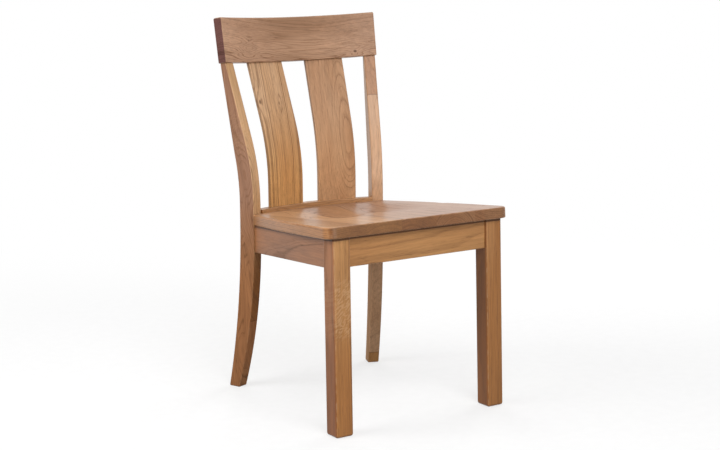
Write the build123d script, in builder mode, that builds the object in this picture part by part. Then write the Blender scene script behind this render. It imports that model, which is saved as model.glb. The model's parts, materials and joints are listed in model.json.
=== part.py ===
"""Dining chair in solid oak: scooped plank seat, curved back with two flat splats.

Millimetres. Z is up, the chair faces -Y, and left and right are as seen from the front.
The origin is on the floor, under the middle of the chair's outline. Paired pieces are
drawn on the right-hand side (+X) and mirrored.
"""
import os
from math import cos, radians, sin, tan

from build123d import *

# Front legs: the feet stand a little ahead of the tops and a little wider
LEG = 44.5
LEG_SPAN = 456.5
LEG_SETBACK = 2.2
LEG_RAKE = 10.2
LEG_SPLAY = 2.5
LEG_ROUND = 6.0

# Seat: runs are measured back from a line that the seat's front edge overhangs
SEAT_TILT = 4.75
SEAT_UNDERSIDE = 441.0
SEAT_THICK = 25.6
SEAT_OVERHANG = 7.0
SEAT_FRONT_HALF = 246.5
SEAT_MID_HALF = 224.0
SEAT_MID_RUN = 215.0
SEAT_REAR_HALF = 171.5
SEAT_REAR_RUN = 475.0
SEAT_CORNER = 24.0
SEAT_TOP_ROUND = 4.0
SEAT_BOTTOM_ROUND = 2.5
SEAT_FIT_GAP = 0.3

# The seat is glued up from boards that run front to back, parted by these seams
BOARD_NAMES = ["left", "mid_left", "middle", "mid_right", "right"]
BOARD_SEAMS = [-148.0, -55.0, 38.0, 146.0]

# Two thigh hollows in the seat, side by side and toed out
HOLLOW_DEPTH = 13.5
HOLLOW_X = 64.0
HOLLOW_RUN = 278.0
HOLLOW_HALF_WIDTH = 112.0
HOLLOW_HALF_LENGTH = 162.0
HOLLOW_TOE = 14.0
HOLLOW_LIFT = 0.25
HOLLOW_STEPS = 32

# Seat frame
APRON_HEIGHT = 66.2
APRON_THICK = 20.0
APRON_ROUND = 2.0
FRONT_APRON_INSET = 6.0
SIDE_APRON_INSET = 3.5

# The back stands on an arc in plan, and the posts bend in radial planes of that arc.
# Bend points are (distance behind the arc, height).
BACK_RADIUS = 496.7
BACK_MID_RUN = 456.5
POST_ANGLE = 20.33
POST_WIDTH = 28.4
POST_DEPTH = 43.4
POST_ROUND = 3.0
FOOT_KICK = 56.6
FOOT_DEPTH = 31.0
FRONT_BEND_LOW = 380.0
REAR_BEND_LOW = 420.0
BEND_HIGH = 455.0
LEAN_START = (26.0, 620.0)
LEAN_END = (91.0, 830.0)
REAR_LEAN_START = (56.9, 575.0)
REAR_LEAN_END = (102.7, 830.0)

# Lower back rail, which holds the splats and closes the seat frame
RAIL_TOP = 440.0
RAIL_HEIGHT = 101.0
RAIL_THICK = 22.0
RAIL_PROUD = 4.0
RAIL_ROUND = 2.0

# Splats
SPLAT_ANGLE = 8.32
SPLAT_WIDTH = 100.3
SPLAT_THICK = 12.0
SPLAT_SETBACK = 2.7
SPLAT_BEND = 495.0
SPLAT_LEAN_START = (25.9, 643.0)
SPLAT_LEAN_END = (93.4, 830.0)
SPLAT_ROUND = 2.0
TENON_THICK = 8.0
TENON_SHOULDER = 6.0
TENON_LENGTH = 14.0
TENON_SLACK = 0.15
TENON_GLUE_ROOM = 1.0

# Crest rail, a bent board that leans back
CREST_LEAN = 9.86
CREST_FRONT_RUN = 529.7
CREST_UNDERSIDE = 781.3
CREST_RADIUS = 566.6
CREST_HEIGHT = 107.8
CREST_THICK = 22.0
CREST_HALF_BOTTOM = 22.2
CREST_HALF_TOP = 22.45
CREST_TOP_ROUND = 4.0
CREST_ROUND = 2.0

# Dowels, with their heights above the lower edge of the rail they hold
DOWEL = 9.0
DOWEL_LENGTH = 36.0
DOWEL_SLACK = 0.1
DOWEL_GLUE_ROOM = 1.0
DOWEL_CHAMFER = 1.0
FRONT_DOWEL_HEIGHTS = (20.0, 45.0)
SIDE_DOWEL_HEIGHTS = (27.0, 50.0)
RAIL_DOWEL_HEIGHTS = (11.0, 83.0)
RAIL_DOWEL_SETBACK = 10.0

# Corner blocks: each bridges a corner of the seat frame
BLOCK_HEIGHT = 40.0
FRONT_BLOCK_X = (115.0, 163.0)
FRONT_BLOCK_RUNS = (75.0, 122.0)
REAR_BLOCK_X = (78.0, 128.0)
REAR_BLOCK_RUNS = (362.0, 318.0)
REAR_BLOCK_REACH = 470.0

# Round-head wood screws
SCREW_SHANK = 4.5
SCREW_HEAD = 8.6
SCREW_HEAD_HEIGHT = 3.2
SCREW_TIP = 6.0
SCREW_SLOT = 1.2
SCREW_SLOT_DEPTH = 1.4
SCREW_POCKET = 11.0
SCREW_SLACK = 0.2
BLOCK_SCREW_LENGTH = 30.0
BLOCK_SCREW_BITE = 14.0
SEAT_SCREW_LENGTH = 42.0
SEAT_SCREW_BITE = 15.0
FRONT_SCREW_X = 138.0
FRONT_SCREW_RUN = 98.0
REAR_SCREW_ANGLE = 12.0
REAR_SCREW_RUN = 341.0
FRONT_SEAT_SCREW = (165.0, 64.0)
REAR_SEAT_SCREW = (122.0, 392.0)

# Reference planes
SCOPE = 1000.0
crest_reach = CREST_HEIGHT * sin(radians(CREST_LEAN)) + CREST_THICK * cos(radians(CREST_LEAN))
front_y = (SEAT_OVERHANG - CREST_FRONT_RUN - crest_reach) / 2
arc_y = front_y + BACK_MID_RUN - BACK_RADIUS
seat_fall = tan(radians(SEAT_TILT))

seat_plane = Plane(
    origin=(0, front_y, SEAT_UNDERSIDE),
    x_dir=(1, 0, 0),
    z_dir=(0, sin(radians(SEAT_TILT)), cos(radians(SEAT_TILT))),
)
seat_up = Axis(seat_plane.origin, seat_plane.z_dir)
apron_floor = seat_plane.offset(-APRON_HEIGHT)
crest_plane = Plane(
    origin=(0, front_y + CREST_FRONT_RUN, CREST_UNDERSIDE),
    x_dir=(1, 0, 0),
    z_dir=(0, sin(radians(CREST_LEAN)), cos(radians(CREST_LEAN))),
)


def radial_plane(angle):
    """Upright plane through the back's arc centre: local x runs outward, local y runs up."""
    outward = Vector(sin(radians(angle)), cos(radians(angle)), 0)
    return Plane(origin=(0, arc_y, 0), x_dir=outward, z_dir=outward.cross(Vector(0, 0, 1)))


post_plane = radial_plane(POST_ANGLE)
splat_plane = radial_plane(SPLAT_ANGLE)


def flipped(plane):
    """The matching plane on the chair's left-hand side."""
    vectors = [plane.origin, plane.x_dir, plane.z_dir]
    origin, across, normal = [Vector(-vector.X, vector.Y, vector.Z) for vector in vectors]
    return Plane(origin=origin, x_dir=across, z_dir=normal)


def both_sides(planes):
    return planes + [flipped(plane) for plane in planes]


def finish(piece, name):
    piece.part.label = name
    export_step(piece.part, f"parts/{name}.step")


def finish_pair(piece, name):
    finish(piece, f"{name}_right")
    with BuildPart() as twin:
        mirror(piece.part, about=Plane.YZ)
    finish(twin, f"{name}_left")


# Middle of the right front leg, at the seat and at the floor
leg_top = Vector(LEG_SPAN / 2 - LEG / 2, front_y + LEG_SETBACK + LEG / 2, SEAT_UNDERSIDE)
leg_foot = Vector(leg_top.X + LEG_SPLAY, leg_top.Y - LEG_RAKE, 0)
leg_along = leg_top - leg_foot

# The side aprons run straight from a front leg to the face of a rear post
side_start = Vector(LEG_SPAN / 2 - SIDE_APRON_INSET, leg_top.Y + LEG / 2, 0)
side_end = post_plane.from_local_coords(
    Vector(BACK_RADIUS, 0, POST_WIDTH / 2 - SIDE_APRON_INSET)
)
side_along = (side_end - side_start).normalized()
side_inward = Vector(-side_along.Y, side_along.X, 0)
side_slope = (side_along - Vector(0, 0, seat_fall * side_along.Y)).normalized()


def side_point(run, depth, above=0):
    """Point on the right side apron, by run, depth in from its face, and height above its edge."""
    start = side_start + side_inward * depth
    point = start + side_along * ((front_y + run - start.Y) / side_along.Y)
    floor = SEAT_UNDERSIDE - seat_fall * run - APRON_HEIGHT / cos(radians(SEAT_TILT))
    return Vector(point.X, point.Y, floor + above)


# Dowel planes on the right-hand side, each centred on the joint and facing along the dowel
mid_apron = APRON_THICK / 2
apron_back = front_y + LEG_SETBACK + FRONT_APRON_INSET + APRON_THICK
front_dowels = [
    Plane(
        origin=(
            LEG_SPAN / 2 - LEG,
            apron_back - mid_apron,
            SEAT_UNDERSIDE - APRON_HEIGHT + height,
        ),
        z_dir=(1, 0, 0),
    )
    for height in FRONT_DOWEL_HEIGHTS
]
side_front_dowels = [
    Plane(origin=side_point(LEG_SETBACK + LEG, mid_apron, height), z_dir=side_slope)
    for height in SIDE_DOWEL_HEIGHTS
]
post_face_run = side_end.Y - front_y
side_rear_dowels = [
    Plane(origin=side_point(post_face_run, mid_apron, height), z_dir=side_slope)
    for height in SIDE_DOWEL_HEIGHTS
]
rail_floor = RAIL_TOP - RAIL_HEIGHT
rail_dowels = [
    Plane(
        origin=post_plane.from_local_coords(
            Vector(BACK_RADIUS + RAIL_DOWEL_SETBACK, rail_floor + height, -POST_WIDTH / 2)
        ),
        z_dir=post_plane.z_dir,
    )
    for height in RAIL_DOWEL_HEIGHTS
]


def lean_offset(start, end, height):
    """Distance behind the arc of the straight stretch from start to end, at a height."""
    return start[0] + (end[0] - start[0]) * (height - start[1]) / (end[1] - start[1])


def under_crest(plane, offset):
    """Point where an upright line at an offset behind the arc meets the crest's underside."""
    foot = plane.from_local_coords(Vector(BACK_RADIUS + offset, 0, 0))
    rise = (foot.Y - crest_plane.origin.Y) * tan(radians(CREST_LEAN))
    return Vector(foot.X, foot.Y, CREST_UNDERSIDE - rise)


post_top = CREST_UNDERSIDE
post_mid = (
    lean_offset(LEAN_START, LEAN_END, post_top)
    + lean_offset(REAR_LEAN_START, REAR_LEAN_END, post_top)
) / 2
splat_middle = SPLAT_SETBACK + SPLAT_THICK / 2
splat_mid = lean_offset(SPLAT_LEAN_START, SPLAT_LEAN_END, CREST_UNDERSIDE) + splat_middle
post_dowels = [Plane(origin=under_crest(post_plane, post_mid), z_dir=crest_plane.z_dir)]
splat_seat = Plane(
    origin=under_crest(splat_plane, splat_mid), x_dir=splat_plane.z_dir, z_dir=crest_plane.z_dir
)
splat_foot = Plane(
    origin=splat_plane.from_local_coords(Vector(BACK_RADIUS + splat_middle, RAIL_TOP, 0)),
    x_dir=splat_plane.z_dir,
    z_dir=(0, 0, -1),
)


# Screw planes on the right-hand side: origin at the face under the head, facing along the screw
block_screw_z = SEAT_UNDERSIDE - BLOCK_HEIGHT / 2
screw_seat = BLOCK_SCREW_LENGTH - BLOCK_SCREW_BITE
side_screw_depth = APRON_THICK + screw_seat


def side_screw(run):
    head = side_point(run, side_screw_depth)
    return Plane(origin=(head.X, head.Y, block_screw_z - seat_fall * run), z_dir=-side_inward)


front_block_screws = [
    Plane(
        origin=(FRONT_SCREW_X, apron_back + screw_seat, block_screw_z),
        z_dir=(0, -1, 0),
    ),
    side_screw(FRONT_SCREW_RUN),
]
rail_face = BACK_RADIUS - RAIL_PROUD
rear_screw_plane = radial_plane(REAR_SCREW_ANGLE)
rear_screw_head = rear_screw_plane.from_local_coords(Vector(rail_face - screw_seat, 0, 0))
rear_block_screws = [
    Plane(
        origin=(
            rear_screw_head.X,
            rear_screw_head.Y,
            block_screw_z - seat_fall * (rear_screw_head.Y - front_y),
        ),
        z_dir=rear_screw_plane.x_dir,
    ),
    side_screw(REAR_SCREW_RUN),
]
seat_screw_seat = SEAT_SCREW_BITE - SEAT_SCREW_LENGTH


def seat_screw(place):
    origin = seat_plane.from_local_coords(Vector(place[0], place[1], seat_screw_seat))
    return Plane(origin=origin, z_dir=seat_plane.z_dir)


front_seat_screws = [seat_screw(FRONT_SEAT_SCREW)]
rear_seat_screws = [seat_screw(REAR_SEAT_SCREW)]


def bore_screws(planes, length):
    """Shank holes ahead of each head, and a wide pocket behind it."""
    with Locations(*planes):
        Cylinder(
            SCREW_SHANK / 2 + SCREW_SLACK,
            length + SCREW_SLACK,
            align=(Align.CENTER, Align.CENTER, Align.MIN),
            mode=Mode.SUBTRACT,
        )
        Cylinder(
            SCREW_POCKET / 2,
            length,
            align=(Align.CENTER, Align.CENTER, Align.MAX),
            mode=Mode.SUBTRACT,
        )


def drill(planes):
    """Dowel holes through a joint, with room for glue at their ends."""
    with Locations(*planes):
        Cylinder(DOWEL / 2 + DOWEL_SLACK, DOWEL_LENGTH + 2 * DOWEL_GLUE_ROOM, mode=Mode.SUBTRACT)


os.makedirs("parts", exist_ok=True)

# Front legs, from a plain raked post that the aprons are cut to
with BuildPart() as leg_blank:
    with BuildSketch():
        with Locations((leg_foot.X, leg_foot.Y)):
            Rectangle(LEG, LEG)
    extrude(amount=leg_along.length, dir=leg_along.normalized())
    split(bisect_by=seat_plane, keep=Keep.BOTTOM)

with BuildPart() as front_leg:
    add(leg_blank.part)
    foot_edges = front_leg.faces().sort_by(Axis.Z)[0].edges()
    fillet(front_leg.edges().sort_by(SortBy.LENGTH)[-4:] + foot_edges, LEG_ROUND)
    drill(front_dowels + side_front_dowels)
finish_pair(front_leg, "front_leg")

# Rear posts, each bent in its radial plane from the floor to the crest
with BuildPart() as rear_post:
    with BuildSketch(post_plane):
        with BuildLine():
            foot = (BACK_RADIUS + FOOT_KICK, 0)
            heel = (BACK_RADIUS + FOOT_KICK + FOOT_DEPTH, 0)
            rear_face = BACK_RADIUS + POST_DEPTH
            Line(foot, heel)
            TangentArc((rear_face, REAR_BEND_LOW), heel, tangent=(0, -1))
            Line((rear_face, REAR_BEND_LOW), (rear_face, BEND_HIGH))
            rear_bend = (BACK_RADIUS + REAR_LEAN_START[0], REAR_LEAN_START[1])
            rear_top = (BACK_RADIUS + REAR_LEAN_END[0], REAR_LEAN_END[1])
            TangentArc((rear_face, BEND_HIGH), rear_bend, tangent=(0, 1))
            Line(rear_bend, rear_top)
            front_bend = (BACK_RADIUS + LEAN_START[0], LEAN_START[1])
            front_top = (BACK_RADIUS + LEAN_END[0], LEAN_END[1])
            Line(rear_top, front_top)
            Line(front_top, front_bend)
            TangentArc((BACK_RADIUS, BEND_HIGH), front_bend, tangent=(0, 1))
            Line((BACK_RADIUS, BEND_HIGH), (BACK_RADIUS, FRONT_BEND_LOW))
            TangentArc((BACK_RADIUS, FRONT_BEND_LOW), foot, tangent=(0, -1))
        make_face()
    extrude(amount=POST_WIDTH / 2, both=True)
    split(bisect_by=crest_plane, keep=Keep.BOTTOM)
    flanks = rear_post.faces().sort_by(SortBy.AREA)[-2:]
    long_edges = flanks.edges().filter_by_position(Axis.Z, 5, CREST_UNDERSIDE - 10)
    foot_edges = rear_post.faces().sort_by(Axis.Z)[0].edges()
    fillet(long_edges + foot_edges, POST_ROUND)
    drill(side_rear_dowels + rail_dowels + post_dowels)
finish_pair(rear_post, "rear_post")

# Front apron
with BuildPart() as front_apron:
    with BuildSketch():
        with Locations((0, apron_back - mid_apron)):
            Rectangle(LEG_SPAN - LEG, APRON_THICK)
    extrude(amount=SEAT_UNDERSIDE)
    split(bisect_by=seat_plane, keep=Keep.BOTTOM)
    split(bisect_by=apron_floor, keep=Keep.TOP)
    fillet(front_apron.faces().sort_by(Axis.Z)[0].edges().filter_by(Axis.X), APRON_ROUND)
    add(leg_blank.part, mode=Mode.SUBTRACT)
    mirror(leg_blank.part, about=Plane.YZ, mode=Mode.SUBTRACT)
    drill(both_sides(front_dowels))
    bore_screws(both_sides(front_block_screws[:1]), BLOCK_SCREW_LENGTH)
finish(front_apron, "front_apron")

# Side aprons, which taper in to the back and fall with the seat
with BuildPart() as side_apron:
    with BuildSketch():
        runs = [LEG / 2, LEG / 2, SEAT_REAR_RUN, SEAT_REAR_RUN]
        depths = [0, APRON_THICK, APRON_THICK, 0]
        outline = [side_point(run, depth) for run, depth in zip(runs, depths)]
        with BuildLine():
            Polyline(*[(point.X, point.Y) for point in outline], close=True)
        make_face()
    extrude(amount=SEAT_UNDERSIDE)
    split(bisect_by=seat_plane, keep=Keep.BOTTOM)
    split(bisect_by=apron_floor, keep=Keep.TOP)
    post_face = Plane(origin=side_end, z_dir=post_plane.x_dir)
    split(bisect_by=post_face, keep=Keep.BOTTOM)
    low_edges = side_apron.faces().sort_by(seat_up)[0].edges().sort_by(SortBy.LENGTH)[-2:]
    fillet(low_edges, APRON_ROUND)
    add(leg_blank.part, mode=Mode.SUBTRACT)
    drill(side_front_dowels + side_rear_dowels)
    bore_screws([front_block_screws[1], rear_block_screws[1]], BLOCK_SCREW_LENGTH)
finish_pair(side_apron, "side_apron")

# Lower back rail, a curved board between the posts
def rail_board(gap):
    """The rail's plain board, grown by a gap."""
    with BuildPart() as board:
        with BuildSketch(Plane.XY.offset(rail_floor)):
            with Locations((0, arc_y)):
                Circle(rail_face + RAIL_THICK + gap)
                Circle(rail_face - gap, mode=Mode.SUBTRACT)
        extrude(amount=RAIL_HEIGHT)
        split(bisect_by=Plane.XZ.offset(-arc_y), keep=Keep.BOTTOM)
        for end in both_sides([post_plane.offset(gap - POST_WIDTH / 2)]):
            split(bisect_by=end, keep=Keep.BOTTOM)
    return board.part


with BuildPart() as back_rail:
    add(rail_board(0))
    fillet(back_rail.edges().filter_by(GeomType.CIRCLE), RAIL_ROUND)
    drill(both_sides(rail_dowels))
    bore_screws(both_sides(rear_block_screws[:1]), BLOCK_SCREW_LENGTH)
    tenon_width = SPLAT_WIDTH - 2 * TENON_SHOULDER
    for slot in both_sides([splat_foot]):
        with BuildSketch(slot):
            Rectangle(tenon_width + 2 * TENON_SLACK, TENON_THICK + 2 * TENON_SLACK)
        extrude(amount=TENON_LENGTH + TENON_GLUE_ROOM, mode=Mode.SUBTRACT)
finish(back_rail, "back_rail")

# Splats: flat across and bent to support the back, with a tenon at each end
with BuildPart() as splat:
    with BuildSketch(splat_plane):
        with BuildLine():
            front = BACK_RADIUS + SPLAT_SETBACK
            rear = front + SPLAT_THICK
            tops = []
            for face in (front, rear):
                bend = (face + SPLAT_LEAN_START[0], SPLAT_LEAN_START[1])
                tops.append((face + SPLAT_LEAN_END[0], SPLAT_LEAN_END[1]))
                Line((face, RAIL_TOP), (face, SPLAT_BEND))
                TangentArc((face, SPLAT_BEND), bend, tangent=(0, 1))
                Line(bend, tops[-1])
            Line((front, RAIL_TOP), (rear, RAIL_TOP))
            Line(*tops)
        make_face()
    extrude(amount=SPLAT_WIDTH / 2, both=True)
    split(bisect_by=crest_plane, keep=Keep.BOTTOM)
    flanks = splat.faces().filter_by(Axis((0, 0, 0), splat_plane.z_dir))
    long_edges = flanks.edges().filter_by_position(Axis.Z, RAIL_TOP + 1, CREST_UNDERSIDE - 10)
    fillet(long_edges, SPLAT_ROUND)
    for end in (splat_seat, splat_foot):
        with BuildSketch(end):
            Rectangle(tenon_width, TENON_THICK)
        extrude(amount=TENON_LENGTH)
finish_pair(splat, "splat")

# Crest rail: a bent board whose ends flare a little towards the top
with BuildPart() as crest_rail:
    with BuildSketch(crest_plane):
        with Locations((0, -CREST_RADIUS)):
            Circle(CREST_RADIUS + CREST_THICK)
            Circle(CREST_RADIUS, mode=Mode.SUBTRACT)
    extrude(amount=CREST_HEIGHT)
    split(bisect_by=Plane.XZ.offset(-arc_y), keep=Keep.BOTTOM)
    corners = []
    for half_angle, height in ((CREST_HALF_BOTTOM, 0), (CREST_HALF_TOP, CREST_HEIGHT)):
        across = CREST_RADIUS * sin(radians(half_angle))
        behind = CREST_RADIUS * (cos(radians(half_angle)) - 1)
        corners.append(crest_plane.from_local_coords(Vector(across, behind, height)))
    hub = crest_plane.from_local_coords(Vector(0, -CREST_RADIUS, 0))
    end_normal = (corners[0] - hub).cross(corners[1] - corners[0])
    for end in both_sides([Plane(origin=corners[0], z_dir=end_normal)]):
        split(bisect_by=end, keep=Keep.BOTTOM)
    crest_up = Axis(crest_plane.origin, crest_plane.z_dir)
    fillet(crest_rail.faces().sort_by(crest_up)[-1].edges(), CREST_TOP_ROUND)
    fillet(crest_rail.faces().sort_by(crest_up)[0].edges(), CREST_ROUND)
    drill(both_sides(post_dowels))
    for slot in both_sides([splat_seat]):
        with BuildSketch(slot):
            Rectangle(tenon_width + 2 * TENON_SLACK, TENON_THICK + 2 * TENON_SLACK)
        extrude(amount=TENON_LENGTH + TENON_GLUE_ROOM, mode=Mode.SUBTRACT)
finish(crest_rail, "crest_rail")


def hollow_depth(x, run):
    """Depth of the two hollows below the seat's flat top."""
    depth = 0.0
    for side in (-1, 1):
        toe = side * radians(HOLLOW_TOE)
        across = x - side * HOLLOW_X
        along = run - HOLLOW_RUN
        width_share = (across * cos(toe) + along * sin(toe)) / HOLLOW_HALF_WIDTH
        length_share = (along * cos(toe) - across * sin(toe)) / HOLLOW_HALF_LENGTH
        share = width_share**2 + length_share**2
        depth += HOLLOW_DEPTH * max(0.0, 1 - share) ** 2
    return depth


# A smooth sheet over the seat that dips below its top only inside the hollows
sheet_half = HOLLOW_X + HOLLOW_HALF_LENGTH
sheet_points = []
for i in range(HOLLOW_STEPS + 1):
    x = sheet_half * (2 * i / HOLLOW_STEPS - 1)
    runs = [HOLLOW_RUN + sheet_half * (2 * j / HOLLOW_STEPS - 1) for j in range(HOLLOW_STEPS + 1)]
    heights = [SEAT_THICK + HOLLOW_LIFT - hollow_depth(x, run) for run in runs]
    row = [Vector(x, run, height) for run, height in zip(runs, heights)]
    sheet_points.append([seat_plane.from_local_coords(point) for point in row])
hollow_sheet = Face.make_surface_from_array_of_points(sheet_points)


# Corner blocks: each bridges two rails of the seat frame and takes a screw into each
def corner_block(outline, block_screws, seat_screws):
    with BuildPart() as block:
        with BuildSketch():
            with BuildLine():
                Polyline(*[(point.X, point.Y) for point in outline], close=True)
            make_face()
            with Locations((0, arc_y)):
                Circle(rail_face, mode=Mode.INTERSECT)
        extrude(amount=SEAT_UNDERSIDE)
        split(bisect_by=seat_plane, keep=Keep.BOTTOM)
        split(bisect_by=seat_plane.offset(-BLOCK_HEIGHT), keep=Keep.TOP)
        bore_screws(block_screws, BLOCK_SCREW_LENGTH)
        bore_screws(seat_screws, SEAT_SCREW_LENGTH)
    return block


front_block = corner_block(
    [
        Vector(FRONT_BLOCK_X[0], apron_back),
        Vector(FRONT_BLOCK_X[1], apron_back),
        side_point(FRONT_BLOCK_RUNS[0], APRON_THICK),
        side_point(FRONT_BLOCK_RUNS[1], APRON_THICK),
    ],
    front_block_screws,
    front_seat_screws,
)
finish_pair(front_block, "corner_block_front")
rear_block = corner_block(
    [
        Vector(REAR_BLOCK_X[0], front_y + REAR_BLOCK_REACH),
        Vector(REAR_BLOCK_X[1], front_y + REAR_BLOCK_REACH),
        side_point(REAR_BLOCK_RUNS[0], APRON_THICK),
        side_point(REAR_BLOCK_RUNS[1], APRON_THICK),
    ],
    rear_block_screws,
    rear_seat_screws,
)
finish_pair(rear_block, "corner_block_rear")

# Seat: a tilted panel with rounded edges, scribed to the curved back and hollowed
with BuildPart() as seat:
    with BuildSketch(seat_plane):
        with BuildLine():
            for side in (-1, 1):
                ThreePointArc(
                    (side * SEAT_FRONT_HALF, -SEAT_OVERHANG),
                    (side * SEAT_MID_HALF, SEAT_MID_RUN),
                    (side * SEAT_REAR_HALF, SEAT_REAR_RUN),
                )
            Line((-SEAT_FRONT_HALF, -SEAT_OVERHANG), (SEAT_FRONT_HALF, -SEAT_OVERHANG))
            Line((-SEAT_REAR_HALF, SEAT_REAR_RUN), (SEAT_REAR_HALF, SEAT_REAR_RUN))
        outline = make_face()
        fillet(outline.vertices().group_by(Axis.Y)[0], SEAT_CORNER)
    extrude(amount=SEAT_THICK)
    with BuildSketch():
        with Locations((0, arc_y)):
            Circle(BACK_RADIUS - SEAT_FIT_GAP)
    extrude(amount=SCOPE, mode=Mode.INTERSECT)
    add(rail_board(SEAT_FIT_GAP), mode=Mode.SUBTRACT)
    seat_middle = front_y + BACK_MID_RUN / 2
    seat_faces = seat.faces().sort_by(seat_up)
    for face, radius in ((seat_faces[-1], SEAT_TOP_ROUND), (seat_faces[0], SEAT_BOTTOM_ROUND)):
        free_edges = face.edges().filter_by_position(Axis.Y, -SCOPE, seat_middle)
        fillet(free_edges, radius)
    extrude(hollow_sheet, amount=SEAT_THICK, dir=seat_plane.z_dir, mode=Mode.SUBTRACT)
    bore_screws(both_sides(front_seat_screws + rear_seat_screws), SEAT_SCREW_LENGTH)

board_edges = [-SCOPE / 2, *BOARD_SEAMS, SCOPE / 2]
for name, start, end in zip(BOARD_NAMES, board_edges, board_edges[1:]):
    with BuildPart() as board:
        add(seat.part)
        with BuildSketch():
            with Locations(((start + end) / 2, 0)):
                Rectangle(end - start, SCOPE)
        extrude(amount=SCOPE, mode=Mode.INTERSECT)
    finish(board, f"seat_board_{name}")

# Dowels, one set round the seat frame and one under the crest
for name, planes in (
    ("frame_dowels", front_dowels + side_front_dowels + side_rear_dowels + rail_dowels),
    ("crest_dowels", post_dowels),
):
    with BuildPart() as dowels:
        with Locations(*both_sides(planes)):
            Cylinder(DOWEL / 2, DOWEL_LENGTH)
        chamfer(dowels.edges().filter_by(GeomType.CIRCLE), DOWEL_CHAMFER)
    finish(dowels, name)


# Screws: a domed slotted head behind the plane and a pointed shank ahead of it
def wood_screw(length):
    with BuildPart() as screw:
        with BuildSketch(Plane.XZ):
            with BuildLine():
                shank = SCREW_SHANK / 2
                head = SCREW_HEAD / 2
                Polyline(
                    (0, -SCREW_HEAD_HEIGHT),
                    (0, length),
                    (shank, length - SCREW_TIP),
                    (shank, 0),
                    (head, 0),
                )
                TangentArc((head, 0), (0, -SCREW_HEAD_HEIGHT), tangent=(-1, -4))
            make_face()
        revolve(axis=Axis.Z)
        with Locations((0, 0, SCREW_SLOT_DEPTH - SCREW_HEAD_HEIGHT)):
            Box(
                SCREW_HEAD,
                SCREW_SLOT,
                SCREW_HEAD_HEIGHT,
                align=(Align.CENTER, Align.CENTER, Align.MAX),
                mode=Mode.SUBTRACT,
            )
    return screw.part


for name, planes, length in (
    ("block_screws", front_block_screws + rear_block_screws, BLOCK_SCREW_LENGTH),
    ("seat_screws", front_seat_screws + rear_seat_screws, SEAT_SCREW_LENGTH),
):
    master = wood_screw(length)
    with BuildPart() as screws:
        with Locations(*both_sides(planes)):
            add(master)
    finish(screws, name)
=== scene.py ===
"""Looks of an oak dining chair: wood on every board, a pale floor, soft light, the photograph's camera."""
import json
import math

import bpy
from mathutils import Matrix, Vector

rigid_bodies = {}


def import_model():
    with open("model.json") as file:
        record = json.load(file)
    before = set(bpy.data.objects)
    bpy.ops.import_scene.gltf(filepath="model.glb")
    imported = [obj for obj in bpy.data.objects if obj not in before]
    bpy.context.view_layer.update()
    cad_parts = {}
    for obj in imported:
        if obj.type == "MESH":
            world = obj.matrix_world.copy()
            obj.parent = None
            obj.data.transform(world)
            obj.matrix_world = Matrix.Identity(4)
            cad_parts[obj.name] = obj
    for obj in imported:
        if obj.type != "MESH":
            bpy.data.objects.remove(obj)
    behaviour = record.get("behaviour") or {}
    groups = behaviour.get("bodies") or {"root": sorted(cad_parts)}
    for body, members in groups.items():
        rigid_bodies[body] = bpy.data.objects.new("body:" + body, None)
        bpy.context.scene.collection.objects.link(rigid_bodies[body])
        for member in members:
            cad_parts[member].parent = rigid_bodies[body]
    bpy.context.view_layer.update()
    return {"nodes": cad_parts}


for leftover in list(bpy.data.objects):
    bpy.data.objects.remove(leftover)

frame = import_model()
nodes = frame["nodes"]

# Camera at the photograph's place, in metres, degrees and millimetres
CAMERA_PLACE = Vector((-1.95894, -3.00860, 1.04315))
CAMERA_YAW = 33.39
CAMERA_PITCH = 10.04
CAMERA_ROLL = -0.44
CAMERA_LENS = 77.189
CAMERA_SENSOR = 36.0

# Stage, in metres: the floor takes the shadow near the chair and fades to plain white further out.
# FLOOR_WHITE is the share of white near the chair. FLOOR_BOUNCE darkens the light that the floor sends back.
WHITE = (1, 1, 1, 1)
FLOOR_HALF = 90.0
FLOOR_NEAR = 0.7
FLOOR_FAR = 2.2
FLOOR_WHITE = 0.65
FLOOR_COLOUR = (0.83, 0.83, 0.83, 1)
FLOOR_SPECKLE = (0.80, 0.80, 0.80, 1)
FLOOR_SPECKLE_SCALE = (35, 35, 35)
FLOOR_SPECKLE_RANGE = (0.3, 0.7)
FLOOR_BOUNCE = (0.305, 0.297, 0.290, 1)
WORLD_FILL = 0.10

LAMPS = (
    # name, place, aimed at, width, height, watts, mirrored in the gloss
    ("key", (-0.45, -1.8, 2.15), (0, 0, 0.8), 1.6, 1.2, 39.5, True),
    ("left", (-2.2, 0.3, 1.7), (0, 0, 0.6), 1.6, 1.4, 45, False),
    ("front", (-0.7, -3.2, 0.8), (0, 0, 0.4), 1.6, 1.0, 30.5, True),
    ("top", (0.2, 0.2, 2.5), (0, 0, 0.5), 1.8, 1.8, 10, True),
    ("right", (2.4, 0.9, 1.2), (0, 0, 0.5), 1.6, 1.4, 36, False),
    ("back", (1.0, 2.7, 1.3), (0, 0, 0.5), 1.6, 1.4, 34, False),
)

# Oak tones, as linear colours.
# A pair is for a board whose tone changes along its length, with the upper or right end first. On the crest,
# the splats, the front legs and the left post that change partly holds painted light, as noted at each.
HONEY = (0.490, 0.285, 0.152, 1)
GOLD = (0.465, 0.232, 0.088, 1)
TAN = (0.370, 0.192, 0.096, 1)
ROSE = (0.345, 0.160, 0.070, 1)
UMBER = (0.285, 0.145, 0.078, 1)
LINE = (0.165, 0.072, 0.030, 1)
PORE = (0.090, 0.038, 0.017, 1)
# the dark of the painted shadow line just below the seat
SEAT_SHADOW_TONE = (0.070, 0.023, 0.005, 1)
RAY = (0.580, 0.340, 0.170, 1)
END_TINT = (0.62, 0.50, 0.34, 1)
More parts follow.
